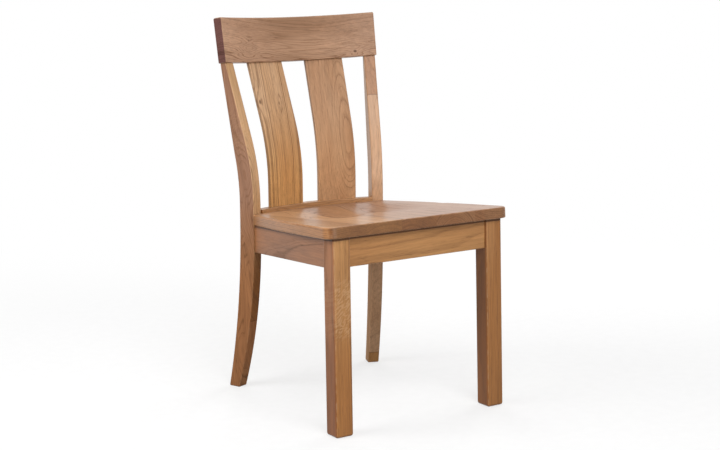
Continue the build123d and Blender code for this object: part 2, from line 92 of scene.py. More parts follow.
# Back
# the crest's paler, greyer left end is painted sheen
CREST_BODY_SHEEN_LEFT = (0.405, 0.236, 0.143, 1), (0.500, 0.298, 0.188, 1)
CREST_DEEP_SHEEN_LEFT = (0.305, 0.168, 0.096, 1), (0.390, 0.222, 0.135, 1)
CREST_END = (0.25, 0.178, 0.235, 1)
# the splats' greyer upper ends are painted sheen
SPLAT_GOLD_SHEEN_TOP = (0.580, 0.362, 0.210, 1), (0.585, 0.318, 0.122, 1)
SPLAT_GOLD_DEEP_SHEEN_TOP = (0.500, 0.290, 0.150, 1), (0.500, 0.245, 0.085, 1)
SPLAT_BROWN_SHEEN_TOP = (0.450, 0.262, 0.148, 1), (0.500, 0.280, 0.142, 1)
SPLAT_BROWN_DEEP_SHEEN_TOP = (0.390, 0.210, 0.110, 1), (0.400, 0.200, 0.092, 1)
RAIL_GOLD = (0.470, 0.246, 0.112, 1)
RAIL_BROWN = (0.380, 0.195, 0.088, 1)
# Posts
# the left post's dark lower front, below the seat, is painted shade
POST_LEFT_SHADED_LOW = (0.590, 0.365, 0.195, 1), (0.285, 0.116, 0.036, 1)
POST_LEFT_DEEP_SHADED_LOW = (0.520, 0.300, 0.140, 1), (0.245, 0.096, 0.028, 1)
POST_LEFT_SIDE = (0.335, 0.178, 0.108, 1), (0.365, 0.162, 0.068, 1)
POST_LEFT_SIDE_DEEP = (0.265, 0.132, 0.076, 1), (0.290, 0.122, 0.050, 1)
POST_RIGHT = (0.500, 0.302, 0.180, 1), (0.550, 0.330, 0.192, 1)
POST_RIGHT_DEEP = (0.460, 0.268, 0.150, 1), (0.505, 0.290, 0.160, 1)
POST_RIGHT_REAR = (0.365, 0.185, 0.092, 1), (0.470, 0.236, 0.090, 1)
POST_RIGHT_REAR_DEEP = (0.338, 0.165, 0.078, 1), (0.420, 0.200, 0.072, 1)
# Front legs and aprons
# On the front legs the darker lower ends are painted shade towards the floor; the right leg's lighter lower
# front is painted light against the lamps' falloff
LEG_GOLD_SHADED_LOW = (0.480, 0.245, 0.095, 1), (0.425, 0.186, 0.056, 1)
LEG_BROWN_SHADED_LOW = (0.420, 0.200, 0.074, 1), (0.360, 0.150, 0.045, 1)
LEG_SIDE_SHADED_LOW = (0.395, 0.172, 0.078, 1), (0.285, 0.104, 0.034, 1)
LEG_SIDE_DEEP_SHADED_LOW = (0.340, 0.142, 0.060, 1), (0.235, 0.082, 0.026, 1)
LEG_RED_LIT_LOW = (0.350, 0.147, 0.045, 1), (0.400, 0.172, 0.053, 1)
LEG_RED_SIDE_SHADED_LOW = (0.318, 0.122, 0.036, 1), (0.278, 0.104, 0.030, 1)
LEG_RED_SIDE_DEEP_SHADED_LOW = (0.275, 0.105, 0.030, 1), (0.230, 0.082, 0.022, 1)
APRON_ROSE = (0.375, 0.156, 0.062, 1)
APRON_UMBER = (0.300, 0.133, 0.062, 1)
# Seat
SEAT_LIGHT = (0.490, 0.278, 0.147, 1)
SEAT_PALE = (0.345, 0.194, 0.118, 1)
SEAT_PALE_DEEP = (0.315, 0.162, 0.090, 1)
SEAT_SIDE = (0.438, 0.202, 0.078, 1)
SEAT_SIDE_DEEP = (0.375, 0.167, 0.062, 1)
# Screws
STEEL = (0.55, 0.55, 0.53, 1)
STEEL_TARNISH = (0.40, 0.39, 0.36, 1)
STEEL_CLOUD_SCALE = (420, 420, 420)
STEEL_GRAIN_SCALE = (3800, 3800, 3800)
STEEL_ROUGHNESS = 0.22
STEEL_ROUGHER = 0.25
STEEL_BUMP = 0.3
STEEL_DEPTH = 0.00005
TARNISH_RANGE = (0.35, 0.7)

# Directions of the boards, and a point on the seat's underside at the front
UP = (0, 0, 1)
CROSS = (1, 0, 0)
FRONT_TO_BACK = (0, 1, 0)
SEAT_TILT = math.radians(4.75)
SEAT_RUN = (0, math.cos(SEAT_TILT), -math.sin(SEAT_TILT))
SEAT_FACING = (0, math.sin(SEAT_TILT), math.cos(SEAT_TILT))
SEAT_FRONT = (0, -0.281417, 0.441)
POST_TURN = math.radians(20.33)
POST_LEAN = 0.25
SIDE_APRON_SLANT = 0.16

# Figure of the oak: noise scales per metre, two across the grain and one along it
SWAY_SCALE = (8, 8, 2.6)
RIPPLE_SCALE = (45, 45, 11)
PORE_SCALE = (640, 640, 42)
FIBRE_SCALE = (270, 270, 11)
STREAK_SCALE = (90, 90, 2.2)
CLOUD_SCALE = (15, 15, 3.2)
WEAR_SCALE = (55, 55, 55)
UNEVEN_SCALE = 70.0

# Rings: how far they are uneven, in years, ripple, in ring widths, and wander, in metres.
# A year's dark wood fades out early in it, and the next year's begins before its end. FAINTEST_RING and
# LATE_PORES are the least share of a ring's dark and of the pores outside it.
UNEVEN_YEARS = 2.6
RIPPLE_SHARE = 0.5
WANDER = 0.02
EARLY_WOOD = (0.02, 0.42)
NEXT_WOOD = (0.86, 1.0)
FAINTEST_RING = 0.25
LATE_PORES = 0.25

# Ranges of noise in which pores, clouds, rubbed spots and ray strokes come up
PORE_RANGE = (0.57, 0.70)
CLOUD_RANGE = (0.32, 0.70)
RUBBED_RANGE = (0.38, 0.66)
STROKE_RANGE = (0.44, 0.60)

# The middle of noise, its place for a board of another shift, and a direction that no grain takes
NOISE_HALF = 0.5
NOISE_MIDDLE = (NOISE_HALF, NOISE_HALF, NOISE_HALF)
SHIFT_Y = 1.7
SHIFT_Z = 2.3
ASKEW = (0.31, 0.52, 0.79)

# How strongly each part of the figure colours the wood
FIBRE_SHADE = 0.70
STREAK_SHADE = 0.32
PORE_SHADE = 0.6
FLECK_SHADE = 0.60
WEAR_SHADE = 0.5
GLUE_SHADE = 0.5
# how dark the painted shadow line below the seat gets
SEAT_SHADOW_STRENGTH = 0.9

# Ray flecks: directions along and across the strokes, and their scales per metre
FLECK_ALONG = (0.80, 0.2, 0.60)
FLECK_ACROSS = (-0.60, 0.2, 0.80)
FLECK_SCALE = (80, 260, 1)
FLECK_WAVER_SCALE = (60, 60, 40)
FLECK_WAVER = 0.012
FLECK_FADE = 0.02
FLECK_FADE_TOP = 0.03
FLECK_SIDE_SHARE = 0.2

# Lacquer: satin, polished by use on the seat and dull on the posts below it.
# Parts of the figure make it rougher or smoother, and lie lower or higher.
ROUGHNESS = 0.33
RING_ROUGHER = 0.08
PORE_ROUGHER = 0.16
FLECK_ROUGHER = -0.06
END_ROUGHER = 0.14
PORE_HEIGHT = -1.0
RING_HEIGHT = -0.4
FIBRE_HEIGHT = 0.6
LACQUER_IOR = 1.45
GLOSS = 0.25
SEAT_GLOSS = 0.45
POST_GLOSS = 0.35
COAT = 0.08
COAT_ROUGHNESS = 0.25
GRAIN_BUMP = 0.5
GRAIN_DEPTH = 0.00025
DULL_BELOW = 0.40
SATIN_ABOVE = 0.50

# Share of end grain and of a side's own tones, by how squarely a surface faces that way
END_TURN = (0.45, 0.85)
SIDE_TURN = (0.6, 0.9)
SEAT_SIDE_TURN = (0.3, 0.6)

# Wear at an arris, from nearly none to full, by the product of two squared cosines
ARRIS_RANGE = (0.17, 0.25)

# Where the painted shadow line below the seat sets in, as heights over the seat's underside, where a glue
# line fades beside its plane, and where a knot's core fades, in sizes of the knot
SEAT_SHADOW_RANGE = (-0.0066, -0.0045)
GLUE_RANGE = (0.0001, 0.0005)
CORE_RANGE = (0.08, 0.26)

# Knots: centre, stretch along each axis, size, push on the rings, darkness of the core
CREST_KNOTS = (
    ((0.163, 0.227, 0.799), (0.8, 0, 1.0), 0.018, 2.0, 0.9),
    ((-0.135, 0.240, 0.811), (0.6, 0, 1.0), 0.018, 3.6, 0.1),
    ((-0.132, 0.240, 0.835), (1.0, 0, 0.7), 0.012, 0.8, 0.35),
    ((0.060, 0.245, 0.800), (0.35, 0, 1.0), 0.045, 2.6, 0.0),
)
LEFT_SPLAT_KNOTS = (
    ((-0.1228, 0.209, 0.690), (1.0, 0, 0.5), 0.014, 1.2, 0.8),
    ((-0.0664, 0.215, 0.684), (1.0, 0, 0.5), 0.011, 1.0, 0.6),
)
LEFT_POST_KNOTS = (
    ((-0.192, 0.150, 0.505), (1, 1, 0.6), 0.030, 3.0, 0.0),
    ((-0.192, 0.165, 0.550), (1, 1, 0.6), 0.030, 3.0, 0.0),
    ((-0.195, 0.165, 0.345), (1, 1, 0.5), 0.020, 2.5, 0.2),
    ((-0.200, 0.190, 0.095), (1, 1, 0.5), 0.030, 3.0, 0.0),
)

# Rear posts, each glued up from a front and a rear board, the rear one of a stronger figure.
# A span holds the heights between which the tones change.
POST_RING = 0.008
REAR_SHIFT = 1.3
REAR_CONTRAST = 0.1
POSTS = (
    # the left post's front board is darker below the seat: painted shade
    dict(side="left", sign=-1, joint_lean=-0.105, joint_place=0.19474, shift=14.0, span=(0.25, 0.5),
         front=(POST_LEFT_SHADED_LOW, POST_LEFT_DEEP_SHADED_LOW), flank=(POST_LEFT_SIDE, POST_LEFT_SIDE_DEEP),
         rear=(APRON_ROSE, ROSE), contrast=0.65, knots=LEFT_POST_KNOTS, flecks=(0.58, 0.68)),
    dict(side="right", sign=1, joint_lean=0.0, joint_place=0.24335, shift=17.0, span=(0.55, 0.68),
         front=(POST_RIGHT, POST_RIGHT_DEEP), flank=(POST_RIGHT, POST_RIGHT_DEEP),
         rear=(POST_RIGHT_REAR, POST_RIGHT_REAR_DEEP), contrast=0.2, knots=(), flecks=None),
)

SEAT_BOARDS = (
    # name, a point on the pith, shift, body, deep, tint of the end grain
    ("left", (-0.20, 0, 0.30), 35.0, SEAT_LIGHT, TAN, (0.52, 0.42, 0.28, 1)),
    ("mid_left", (-0.10, 0, 0.33), 38.0, SEAT_LIGHT, TAN, (0.50, 0.40, 0.26, 1)),
    ("middle", (-0.035, 0, 0.37), 41.0, TAN, UMBER, END_TINT),
    ("mid_right", (0.085, 0, 0.395), 44.0, SEAT_PALE, SEAT_PALE_DEEP, (0.72, 0.60, 0.42, 1)),
    ("right", (0.21, 0, 0.53), 47.0, SEAT_PALE, SEAT_PALE_DEEP, (0.72, 0.60, 0.42, 1)),
)

# Kinds of socket in a node group
NUMBER = "NodeSocketFloat"
COLOUR = "NodeSocketColor"
POINT = "NodeSocketVector"


def place_camera():
    """A camera turned by its yaw, pitch and roll."""
    yaw, pitch, roll = (math.radians(angle) for angle in (CAMERA_YAW, CAMERA_PITCH, CAMERA_ROLL))
    up = Vector(UP)
    right = Vector((math.cos(yaw), -math.sin(yaw), 0))
    ahead = Vector((math.sin(yaw), math.cos(yaw), 0))
    look = ahead * math.cos(pitch) - up * math.sin(pitch)
    top = ahead * math.sin(pitch) + up * math.cos(pitch)
    side = right * math.cos(roll) + top * math.sin(roll)
    head = top * math.cos(roll) - right * math.sin(roll)
    lens = bpy.data.cameras.new("photo_camera")
    lens.lens = CAMERA_LENS
    lens.sensor_width = CAMERA_SENSOR
    lens.sensor_fit = "HORIZONTAL"
    camera = bpy.data.objects.new("photo_camera", lens)
    bpy.context.scene.collection.objects.link(camera)
    turn = Matrix((side, head, -look)).transposed()
    camera.matrix_world = Matrix.Translation(CAMERA_PLACE) @ turn.to_4x4()
    bpy.context.scene.camera = camera


# Small helpers for node trees
def feed(tree, socket, value):
    """Links a socket to another one, or sets it to a plain value."""
    if isinstance(value, bpy.types.NodeSocket):
        tree.links.new(value, socket)
    else:
        socket.default_value = value


def node(tree, kind, values=None, **settings):
    """A new node with its settings and the values of its inputs."""
    made = tree.nodes.new(kind)
    for name, value in settings.items():
        setattr(made, name, value)
    for name, value in (values or {}).items():
        feed(tree, made.inputs[name], value)
    return made


def calc(tree, operation, *values):
    """The result of an operation on numbers."""
    made = node(tree, "ShaderNodeMath", operation=operation)
    for socket, value in zip(made.inputs, values):
        feed(tree, socket, value)
    return made.outputs[0]


def vector(tree, operation, *values):
    """The result of an operation on vectors: a number for a length or a dot product."""
    made = node(tree, "ShaderNodeVectorMath", operation=operation)
    for socket, value in zip(made.inputs, values):
        feed(tree, socket, value)
    return made.outputs["Value" if operation in ("LENGTH", "DOT_PRODUCT") else "Vector"]


def ramp(tree, value, low, high, at_low=0.0, at_high=1.0):
    """A smooth step from one value to another."""
    made = node(tree, "ShaderNodeMapRange", interpolation_type="SMOOTHSTEP")
    for name, given in (("Value", value), ("From Min", low), ("From Max", high),
                        ("To Min", at_low), ("To Max", at_high)):
        feed(tree, made.inputs[name], given)
    return made.outputs["Result"]


def blend(tree, share, first, second, how="MIX"):
    """Two colours mixed by the share of the second."""
    made = node(tree, "ShaderNodeMix", data_type="RGBA", blend_type=how, clamp_factor=True)
    feed(tree, made.inputs["Factor"], share)
    feed(tree, made.inputs[6], first)
    feed(tree, made.inputs[7], second)
    return made.outputs[2]


def triple(tree, x, y, z):
    """A vector from three numbers."""
    return node(tree, "ShaderNodeCombineXYZ", {"X": x, "Y": y, "Z": z}).outputs[0]


def noise(tree, point, scales, detail=1.0, roughness=0.5):
    """A noise node on a point stretched by a scale for each axis."""
    stretched = vector(tree, "MULTIPLY", point, scales)
    return node(tree, "ShaderNodeTexNoise", {"Vector": stretched, "Scale": 1.0, "Detail": detail,
                                             "Roughness": roughness})


def open_group(name, inputs, outputs):
    """A new node group with the named sockets: its tree, its input node and its output node."""
    tree = bpy.data.node_groups.new(name, "ShaderNodeTree")
    for label, kind in inputs:
        tree.interface.new_socket(label, in_out="INPUT", socket_type=kind)
    for label, kind in outputs:
        tree.interface.new_socket(label, in_out="OUTPUT", socket_type=kind)
    return tree, tree.nodes.new("NodeGroupInput"), tree.nodes.new("NodeGroupOutput")


def oak_group():
    """Solid oak. The point is in metres, with the pith on the line x = y = 0 and the grain along z."""
    tree, given, result = open_group(
        "oak",
        (("Point", POINT), ("Shift", NUMBER), ("Ring Width", NUMBER), ("Wander", NUMBER), ("Swell", NUMBER),
         ("Core", NUMBER), ("Body", COLOUR), ("Deep", COLOUR), ("Contrast", NUMBER),
         ("Fleck", NUMBER), ("End", NUMBER), ("End Tint", COLOUR), ("Worn", NUMBER)),
        (("Color", COLOUR), ("Roughness", NUMBER), ("Height", NUMBER)))
    shift = given.outputs["Shift"]
    offset = triple(tree, shift, calc(tree, "MULTIPLY", shift, SHIFT_Y),
                    calc(tree, "MULTIPLY", shift, SHIFT_Z))
    point = vector(tree, "ADD", given.outputs["Point"], offset)

    # The rings sway slowly along the trunk and ripple a little
    wander = given.outputs["Wander"]
    sway = vector(tree, "SUBTRACT", noise(tree, point, SWAY_SCALE, 1.5).outputs["Color"], NOISE_MIDDLE)
    sway = vector(tree, "MULTIPLY", sway, triple(tree, wander, wander, 0.0))
    ripple = vector(tree, "SUBTRACT", noise(tree, point, RIPPLE_SCALE, 2.0).outputs["Color"], NOISE_MIDDLE)
    swing = calc(tree, "MULTIPLY", given.outputs["Ring Width"], RIPPLE_SHARE)
    ripple = vector(tree, "MULTIPLY", ripple, triple(tree, swing, swing, 0.0))
    bent = vector(tree, "ADD", vector(tree, "ADD", given.outputs["Point"], sway), ripple)
    radius = vector(tree, "LENGTH", vector(tree, "MULTIPLY", bent, (1, 1, 0)))

    # Rings of uneven width and strength: open pores darken the start of each year, then it pales
    spread = calc(tree, "MULTIPLY_ADD", radius, UNEVEN_SCALE, shift)
    uneven = node(tree, "ShaderNodeTexNoise", {"W": spread, "Scale": 1.0, "Detail": 1.0},
                  noise_dimensions="1D").outputs[0]
    years = calc(tree, "DIVIDE", radius, given.outputs["Ring Width"])
    years = calc(tree, "MULTIPLY_ADD", uneven, UNEVEN_YEARS, years)
    years = calc(tree, "ADD", years, given.outputs["Swell"])
    year = calc(tree, "FLOOR", years)
    season = calc(tree, "SUBTRACT", years, year)
    weight = node(tree, "ShaderNodeTexWhiteNoise", {"W": calc(tree, "ADD", year, shift)},
                  noise_dimensions="1D")
    early = calc(tree, "MAXIMUM", ramp(tree, season, *EARLY_WOOD, 1.0, 0.0), ramp(tree, season, *NEXT_WOOD))
    strength = ramp(tree, weight.outputs["Value"], 0.0, 1.0, FAINTEST_RING, 1.0)
    ring = calc(tree, "MULTIPLY", early, strength)

    # Pores, fibres, fine streaks and broad clouds
    pore = ramp(tree, noise(tree, point, PORE_SCALE, 1.5).outputs[0], *PORE_RANGE)
    pore = calc(tree, "MULTIPLY", pore, calc(tree, "MULTIPLY_ADD", ring, 1.0 - LATE_PORES, LATE_PORES))
    fibre = calc(tree, "SUBTRACT", noise(tree, point, FIBRE_SCALE, 3.0, 0.6).outputs[0], NOISE_HALF)
    streak = calc(tree, "SUBTRACT", noise(tree, point, STREAK_SCALE, 2.0).outputs[0], NOISE_HALF)
    cloud = ramp(tree, noise(tree, point, CLOUD_SCALE, 2.0).outputs[0], *CLOUD_RANGE)

    # Colour
    tint = blend(tree, cloud, given.outputs["Body"], given.outputs["Deep"])
    lines = calc(tree, "MULTIPLY", ring, given.outputs["Contrast"])
    tint = blend(tree, lines, tint, LINE)
    shade = calc(tree, "MULTIPLY_ADD", fibre, FIBRE_SHADE, 1.0)
    shade = calc(tree, "MULTIPLY_ADD", streak, STREAK_SHADE, shade)
    tint = vector(tree, "MULTIPLY", tint, triple(tree, shade, shade, shade))
    tint = blend(tree, calc(tree, "MULTIPLY", pore, PORE_SHADE), tint, PORE)
    tint = blend(tree, calc(tree, "MULTIPLY", given.outputs["Fleck"], FLECK_SHADE), tint, RAY)
    tint = blend(tree, given.outputs["End"], tint, given.outputs["End Tint"], "MULTIPLY")
    tint = blend(tree, given.outputs["Worn"], tint, HONEY)
    tint = blend(tree, given.outputs["Core"], tint, PORE)
    tree.links.new(tint, result.inputs["Color"])

    # Duller over early wood, pores and end grain, brighter on the rays
    rough = calc(tree, "MULTIPLY_ADD", ring, RING_ROUGHER, ROUGHNESS)
    rough = calc(tree, "MULTIPLY_ADD", pore, PORE_ROUGHER, rough)
    rough = calc(tree, "MULTIPLY_ADD", given.outputs["Fleck"], FLECK_ROUGHER, rough)
    rough = calc(tree, "MULTIPLY_ADD", given.outputs["End"], END_ROUGHER, rough)
    tree.links.new(rough, result.inputs["Roughness"])

    # Pores and early wood lie lower, and fibres stand up a little
    height = calc(tree, "MULTIPLY_ADD", pore, PORE_HEIGHT, calc(tree, "MULTIPLY", ring, RING_HEIGHT))
    height = calc(tree, "MULTIPLY_ADD", fibre, FIBRE_HEIGHT, height)
    tree.links.new(height, result.inputs["Height"])
    return tree


def knot_group():
    """A knot: how far it pushes the rings outwards, and its dark core. Lengths are in metres."""
    tree, given, result = open_group(
        "knot", (("Point", POINT), ("Centre", POINT), ("Stretch", POINT), ("Size", NUMBER)),
        (("Swell", NUMBER), ("Core", NUMBER)))
    away = vector(tree, "SUBTRACT", given.outputs["Point"], given.outputs["Centre"])
    away = vector(tree, "LENGTH", vector(tree, "MULTIPLY", away, given.outputs["Stretch"]))
    share = calc(tree, "DIVIDE", away, given.outputs["Size"])
    swell = calc(tree, "POWER", math.e, calc(tree, "MULTIPLY", calc(tree, "MULTIPLY", share, share), -1.0))
    tree.links.new(swell, result.inputs["Swell"])
    tree.links.new(ramp(tree, share, *CORE_RANGE, 1.0, 0.0), result.inputs["Core"])
    return tree


OAK = oak_group()
KNOT = knot_group()


def wood_point(tree, grain, pith):
    """Object coordinates turned so that the grain runs along z and the pith is the line x = y = 0."""
    along = Vector(grain).normalized()
    across = along.cross(Vector(ASKEW)).normalized()
    turn = Matrix((across, along.cross(across), along))
    spot = node(tree, "ShaderNodeTexCoord").outputs["Object"]
    away = vector(tree, "SUBTRACT", spot, pith)
    placed = node(tree, "ShaderNodeMapping", {"Vector": away, "Rotation": tuple(turn.to_euler())})
    return spot, placed.outputs[0]


def knot_field(tree, spot, knots):
    """Sums the push and the dark core of knots given as (centre, stretch, size, push, dark)."""
    swell = 0.0
    core = 0.0
    for centre, stretch, size, push, dark in knots:
        made = node(tree, "ShaderNodeGroup", node_tree=KNOT)
        for name, value in (("Point", spot), ("Centre", centre), ("Stretch", stretch), ("Size", size)):
            feed(tree, made.inputs[name], value)
        swell = calc(tree, "MULTIPLY_ADD", made.outputs["Swell"], push, swell)
        core = calc(tree, "MULTIPLY_ADD", made.outputs["Core"], dark, core)
    return swell, core


def ray_flecks(tree, spot, normal, zone):
    """Short pale strokes of medullary ray across the quarter-sawn front, between two heights."""
    height = node(tree, "ShaderNodeSeparateXYZ", {"Vector": spot}).outputs["Z"]
    low, high = zone
    inside = calc(tree, "MULTIPLY", ramp(tree, height, low - FLECK_FADE, low + FLECK_FADE),
                  ramp(tree, height, high - FLECK_FADE, high + FLECK_FADE_TOP, 1.0, 0.0))
    waver = calc(tree, "MULTIPLY", noise(tree, spot, FLECK_WAVER_SCALE).outputs[0], FLECK_WAVER)
    along = calc(tree, "ADD", vector(tree, "DOT_PRODUCT", spot, FLECK_ALONG), waver)
    across = calc(tree, "ADD", vector(tree, "DOT_PRODUCT", spot, FLECK_ACROSS), waver)
    strokes = noise(tree, triple(tree, along, across, 0.0), FLECK_SCALE).outputs[0]
    front = calc(tree, "ABSOLUTE", vector(tree, "DOT_PRODUCT", normal, FRONT_TO_BACK))
    inside = calc(tree, "MULTIPLY", inside, ramp(tree, front, *SIDE_TURN, FLECK_SIDE_SHARE, 1.0))
    return calc(tree, "MULTIPLY", ramp(tree, strokes, *STROKE_RANGE), inside)


def end_grain(tree, normal, grain):
    """How squarely a surface cuts across the grain."""
    facing = vector(tree, "DOT_PRODUCT", normal, tuple(Vector(grain).normalized()))
    return ramp(tree, calc(tree, "ABSOLUTE", facing), *END_TURN)


def edge_wear(tree, spot, normal, axes):
    """Rubbed arrises: strong where the normal lies between two of the piece's own axes."""
    first, second, third = (vector(tree, "DOT_PRODUCT", normal, tuple(axis)) for axis in axes)
    first, second, third = (calc(tree, "MULTIPLY", part, part) for part in (first, second, third))
    corner = calc(tree, "MULTIPLY", first, second)
    corner = calc(tree, "MULTIPLY_ADD", second, third, corner)
    corner = calc(tree, "MULTIPLY_ADD", third, first, corner)
    rubbed = ramp(tree, noise(tree, spot, WEAR_SCALE, 3.0).outputs[0], *RUBBED_RANGE)
    return calc(tree, "MULTIPLY", ramp(tree, corner, *ARRIS_RANGE, 0.0, WEAR_SHADE), rubbed)


def square_axes(first):
    """Upright box axes, with the first one turned about the vertical to a given direction."""
    first = Vector(first).normalized()
    return first, Vector(UP).cross(first), Vector(UP)


def graded(tree, share, tone):
    """A plain tone as it is, or a pair of tones blended by the share of the first."""
    if len(tone) == 2:
        first, second = tone
        return blend(tree, share, second, first)
    return tone


def painted_seat_shadow(tree, spot):
    """A painted shadow: the dark line that the seat's overhang casts just below it."""
    depth = vector(tree, "DOT_PRODUCT", vector(tree, "SUBTRACT", spot, SEAT_FRONT), SEAT_FACING)
    return ramp(tree, depth, *SEAT_SHADOW_RANGE, 0.0, SEAT_SHADOW_STRENGTH)


def timber(tree, grain, pith, shift, ring, body, deep, contrast, wander=WANDER, along=UP, span=(0.1, 0.4),
           flecks=None, knots=(), end=END_TINT, axes=None, flank=None, turn=SIDE_TURN, carries_seat=False):
    """One board's worth of oak in a material: its colour, roughness and height.

    Shift picks the piece of noise, ring is the width of a year in metres, and the span is the range along a
    direction in which paired tones change. The flank is a side's direction and tones.
    """
    spot, point = wood_point(tree, grain, pith)
    normal = node(tree, "ShaderNodeNewGeometry").outputs["Normal"]
    share = ramp(tree, vector(tree, "DOT_PRODUCT", spot, along), *span)
    swell, core = knot_field(tree, spot, knots)
    board = node(tree, "ShaderNodeGroup", node_tree=OAK)
    body, deep = graded(tree, share, body), graded(tree, share, deep)
    if flank:
        facing, side_body, side_deep = flank
        turned = ramp(tree, calc(tree, "ABSOLUTE", vector(tree, "DOT_PRODUCT", normal, facing)), *turn)
        body = blend(tree, turned, body, graded(tree, share, side_body))
        deep = blend(tree, turned, deep, graded(tree, share, side_deep))
    looks = {"Point": point, "Shift": shift, "Ring Width": ring, "Wander": wander, "Swell": swell,
             "Core": core, "Body": body, "Deep": deep, "Contrast": contrast, "End Tint": end,
             "Fleck": ray_flecks(tree, spot, normal, flecks) if flecks else 0.0,
             "End": end_grain(tree, normal, grain),
             "Worn": edge_wear(tree, spot, normal, axes or square_axes(CROSS))}
    for name, value in looks.items():
        feed(tree, board.inputs[name], value)
    colour = board.outputs["Color"]
    # aprons and front legs get a painted shadow line just below the seat
    if carries_seat:
        colour = blend(tree, painted_seat_shadow(tree, spot), colour, SEAT_SHADOW_TONE)
    return colour, board.outputs["Roughness"], board.outputs["Height"]


def new_material(name):
    """An empty material and its node tree."""
    material = bpy.data.materials.new(name)
    material.use_nodes = True
    material.node_tree.nodes.clear()
    return material, material.node_tree


def lacquer(tree, colour, roughness, height, gloss=GLOSS, coat=COAT):
    """The finish of the oak."""
    bump = node(tree, "ShaderNodeBump", {"Height": height, "Strength": GRAIN_BUMP, "Distance": GRAIN_DEPTH})
    shader = node(tree, "ShaderNodeBsdfPrincipled", {"Base Color": colour, "Roughness": roughness,
                                                     "Normal": bump.outputs[0]})
    shader.inputs["IOR"].default_value = LACQUER_IOR
    shader.inputs["Specular IOR Level"].default_value = gloss
    shader.inputs["Coat Weight"].default_value = coat
    shader.inputs["Coat Roughness"].default_value = COAT_ROUGHNESS
    out = node(tree, "ShaderNodeOutputMaterial")
    tree.links.new(shader.outputs[0], out.inputs["Surface"])


def oak_material(name, gloss=GLOSS, **board):
    """One board of lacquered oak, described as timber asks."""
    material, tree = new_material(name)
    lacquer(tree, *timber(tree, **board), gloss)
    return material


def glued_material(name, front, rear, facing, place):
    """Two boards glued face to face: the joint is a plane, and shows as a fine dark line."""
    material, tree = new_material(name)
    colour, *relief = timber(tree, **front)
    rear_colour, *rear_relief = timber(tree, **rear)
    spot = node(tree, "ShaderNodeTexCoord").outputs["Object"]
    depth = calc(tree, "SUBTRACT", vector(tree, "DOT_PRODUCT", spot, facing), place)
    behind = calc(tree, "GREATER_THAN", depth, 0.0)
    before = calc(tree, "SUBTRACT", 1.0, behind)
    colour = blend(tree, behind, colour, rear_colour)
    glue = ramp(tree, calc(tree, "ABSOLUTE", depth), *GLUE_RANGE, GLUE_SHADE, 0.0)
    colour = blend(tree, glue, colour, PORE)
    relief = [calc(tree, "MULTIPLY_ADD", behind, rear_part, calc(tree, "MULTIPLY", before, part))
              for part, rear_part in zip(relief, rear_relief)]
    roughness, height = relief

    # The finish is dull below the seat
    dull = ramp(tree, vector(tree, "DOT_PRODUCT", spot, UP), DULL_BELOW, SATIN_ABOVE, 1.0, 0.0)
    lacquer(tree, colour, calc(tree, "MAXIMUM", roughness, dull), height, gloss=POST_GLOSS, coat=0.0)
    return material


def steel_material(name):
    """Zinc-plated steel: cool grey with fine cloudy tarnish."""
    material, tree = new_material(name)
    spot = node(tree, "ShaderNodeTexCoord").outputs["Object"]
    cloudy = noise(tree, spot, STEEL_CLOUD_SCALE, 3.0).outputs[0]
    fine = noise(tree, spot, STEEL_GRAIN_SCALE, 2.0).outputs[0]
    colour = blend(tree, ramp(tree, cloudy, *TARNISH_RANGE), STEEL, STEEL_TARNISH)
    rough = calc(tree, "MULTIPLY_ADD", cloudy, STEEL_ROUGHER, STEEL_ROUGHNESS)
    bump = node(tree, "ShaderNodeBump", {"Height": fine, "Strength": STEEL_BUMP, "Distance": STEEL_DEPTH})
    shader = node(tree, "ShaderNodeBsdfPrincipled", {"Base Color": colour, "Roughness": rough,
                                                     "Normal": bump.outputs[0]})
    shader.inputs["Metallic"].default_value = 1.0
    out = node(tree, "ShaderNodeOutputMaterial")
    tree.links.new(shader.outputs[0], out.inputs["Surface"])
    return material


def dress(node_name, material):
    """Gives a node of the frame its material."""
    mesh = nodes[node_name].data
    mesh.materials.clear()
    mesh.materials.append(material)


def dress_back():
    """Crest, splats and lower rail."""
    # the crest's paler, greyer left end is painted sheen
    dress("crest_rail", oak_material(
        "oak_crest", grain=(1, 0, -0.06), pith=(0, 0.165, 0.66), shift=2.0, ring=0.0105, wander=0.04,
        body=CREST_BODY_SHEEN_LEFT, deep=CREST_DEEP_SHEEN_LEFT, contrast=0.75, along=CROSS, span=(-0.2, 0.0), end=CREST_END,
        knots=CREST_KNOTS))
    # the splats' greyer upper ends are painted sheen
    dress("splat_left", oak_material(
        "oak_splat_left", grain=(0, 0.2, 1), pith=(-0.36, 0.19, 0.6), shift=5.0, ring=0.0085, wander=0.012,
        body=SPLAT_GOLD_SHEEN_TOP, deep=SPLAT_GOLD_DEEP_SHEEN_TOP, contrast=0.8, span=(0.5, 0.7), knots=LEFT_SPLAT_KNOTS))
    dress("splat_right", oak_material(
        "oak_splat_right", grain=(0.035, 0.238, 1), pith=(0.105, 0.155, 0.597), shift=8.0, ring=0.004,
        wander=0.004, body=SPLAT_BROWN_SHEEN_TOP, deep=SPLAT_BROWN_DEEP_SHEEN_TOP, contrast=0.42, span=(0.5, 0.7)))
    dress("back_rail", oak_material(
        "oak_back_rail", grain=CROSS, pith=(0, 0.05, 0.36), shift=11.0, ring=0.006,
        body=RAIL_GOLD, deep=RAIL_BROWN, contrast=0.5))


